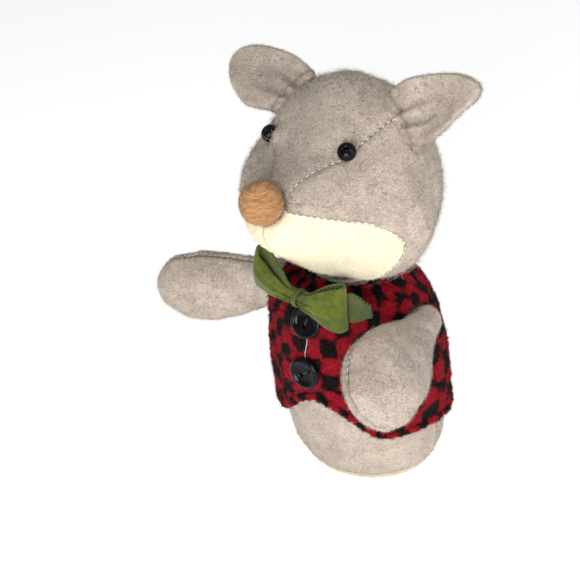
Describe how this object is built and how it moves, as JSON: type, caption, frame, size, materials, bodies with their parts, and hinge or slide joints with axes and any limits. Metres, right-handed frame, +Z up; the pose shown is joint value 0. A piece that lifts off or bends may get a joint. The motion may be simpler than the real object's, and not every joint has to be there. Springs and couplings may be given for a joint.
{
  "type": "sewn felt hand puppet",
  "caption": "Small sewn wool-felt animal glove puppet: stuffed head on a finger tube, finger-pocket arms, open-bottomed body, checked vest with shiny buttons, and a bow tie.",
  "frame": {"origin": "centre of the whole outline's footprint, on the surface it rests on (the hem's lower edge)", "axes": "+Z up, -Y the way the face looks, +X towards the puppet's own left arm"},
  "size_m": [0.1404, 0.0944, 0.1619],
  "materials": {
    "grey_felt": "heathered grey wool felt",
    "cream_felt": "cream wool felt",
    "plaid_cloth": "red and black checked boucle",
    "green_felt": "green felt",
    "tan_felt": "felted wool",
    "black_gloss": "polished black",
    "sewing_thread": "spun thread",
    "filling": "polyester wadding",
    "card": "rolled card"
  },
  "bodies": {
    "body": {"hem_binding": "cream_felt", "body_front_panel": "grey_felt", "body_back_panel": "grey_felt", "vest_back": "plaid_cloth", "vest_left_front": "plaid_cloth", "vest_right_front": "plaid_cloth", "button_upper": "black_gloss", "button_lower": "black_gloss", "button_upper_thread": "sewing_thread", "button_lower_thread": "sewing_thread", "button_link_thread": "sewing_thread", "bow_left_loop": "green_felt", "bow_right_loop": "green_felt", "bow_back_strip": "green_felt", "bow_stitch": "green_felt"},
    "neck_turn": {"neck_gather_thread": "sewing_thread"},
    "neck_tilt": {"neck_seam_thread": "sewing_thread"},
    "head": {"head_gusset": "grey_felt", "head_left_side": "grey_felt", "head_right_side": "grey_felt", "chin_left_patch": "cream_felt", "chin_right_patch": "cream_felt", "head_stuffing": "filling", "finger_tube": "card", "nose_ball": "tan_felt", "eye_left": "black_gloss", "eye_right": "black_gloss", "eye_left_thread": "sewing_thread", "eye_right_thread": "sewing_thread"},
    "ear_left": {"ear_left_front_panel": "grey_felt", "ear_left_back_panel": "grey_felt"},
    "ear_right": {"ear_right_front_panel": "grey_felt", "ear_right_back_panel": "grey_felt"},
    "shoulder_left": {"shoulder_left_seam_edge": "grey_felt"},
    "shoulder_right": {"shoulder_right_seam_edge": "grey_felt"},
    "arm_left": {"arm_left_outer_panel": "grey_felt", "arm_left_inner_panel": "grey_felt", "paw_left_stuffing": "filling"},
    "arm_right": {"arm_right_outer_panel": "grey_felt", "arm_right_inner_panel": "grey_felt", "paw_right_stuffing": "filling"}
  },
  "joints": [
    {"name": "head_turn", "type": "hinge", "parent": "body", "child": "neck_turn", "pos_m": [0.01633, 0.00985, 0.0895], "axis": [0, 0, 1], "range_deg": [-20, 14], "stiffness_Nm_per_rad": 0.15},
    {"name": "head_tilt", "type": "hinge", "parent": "neck_turn", "child": "neck_tilt", "pos_m": [0.01633, 0.00985, 0.0895], "axis": [0, 1, 0], "range_deg": [-3, 4], "stiffness_Nm_per_rad": 0.3},
    {"name": "head_nod", "type": "hinge", "parent": "neck_tilt", "child": "head", "pos_m": [0.01633, 0.00985, 0.0895], "axis": [1, 0, 0], "range_deg": [-12, 2], "stiffness_Nm_per_rad": 0.3},
    {"name": "left_ear_flop", "type": "hinge", "parent": "head", "child": "ear_left", "pos_m": [0.04211, 0.0188, 0.14572], "axis": [0.6314, -0.3508, -0.6916], "range_deg": [-30, 30], "stiffness_Nm_per_rad": 0.01},
    {"name": "right_ear_flop", "type": "hinge", "parent": "head", "child": "ear_right", "pos_m": [-0.00767, 0.01942, 0.14771], "axis": [-0.5812, -0.501, -0.6413], "range_deg": [-30, 30], "stiffness_Nm_per_rad": 0.01},
    {"name": "left_arm_swing", "type": "hinge", "parent": "body", "child": "shoulder_left", "pos_m": [0.04883, 0.00965, 0.0685], "axis": [0, 0, 1], "range_deg": [0, 75], "stiffness_Nm_per_rad": 0.05},
    {"name": "left_arm_raise", "type": "hinge", "parent": "shoulder_left", "child": "arm_left", "pos_m": [0.04883, 0.00965, 0.0685], "axis": [-0.9816, -0.1908, 0], "range_deg": [-15, 15], "stiffness_Nm_per_rad": 0.05},
    {"name": "right_arm_swing", "type": "hinge", "parent": "body", "child": "shoulder_right", "pos_m": [-0.01617, 0.00965, 0.0685], "axis": [0, 0, 1], "range_deg": [-25, 5], "stiffness_Nm_per_rad": 0.05},
    {"name": "right_arm_raise", "type": "hinge", "parent": "shoulder_right", "child": "arm_right", "pos_m": [-0.01617, 0.00965, 0.0685], "axis": [-0.342, 0.9397, 0], "range_deg": [-1, 36], "stiffness_Nm_per_rad": 0.05}
  ]
}
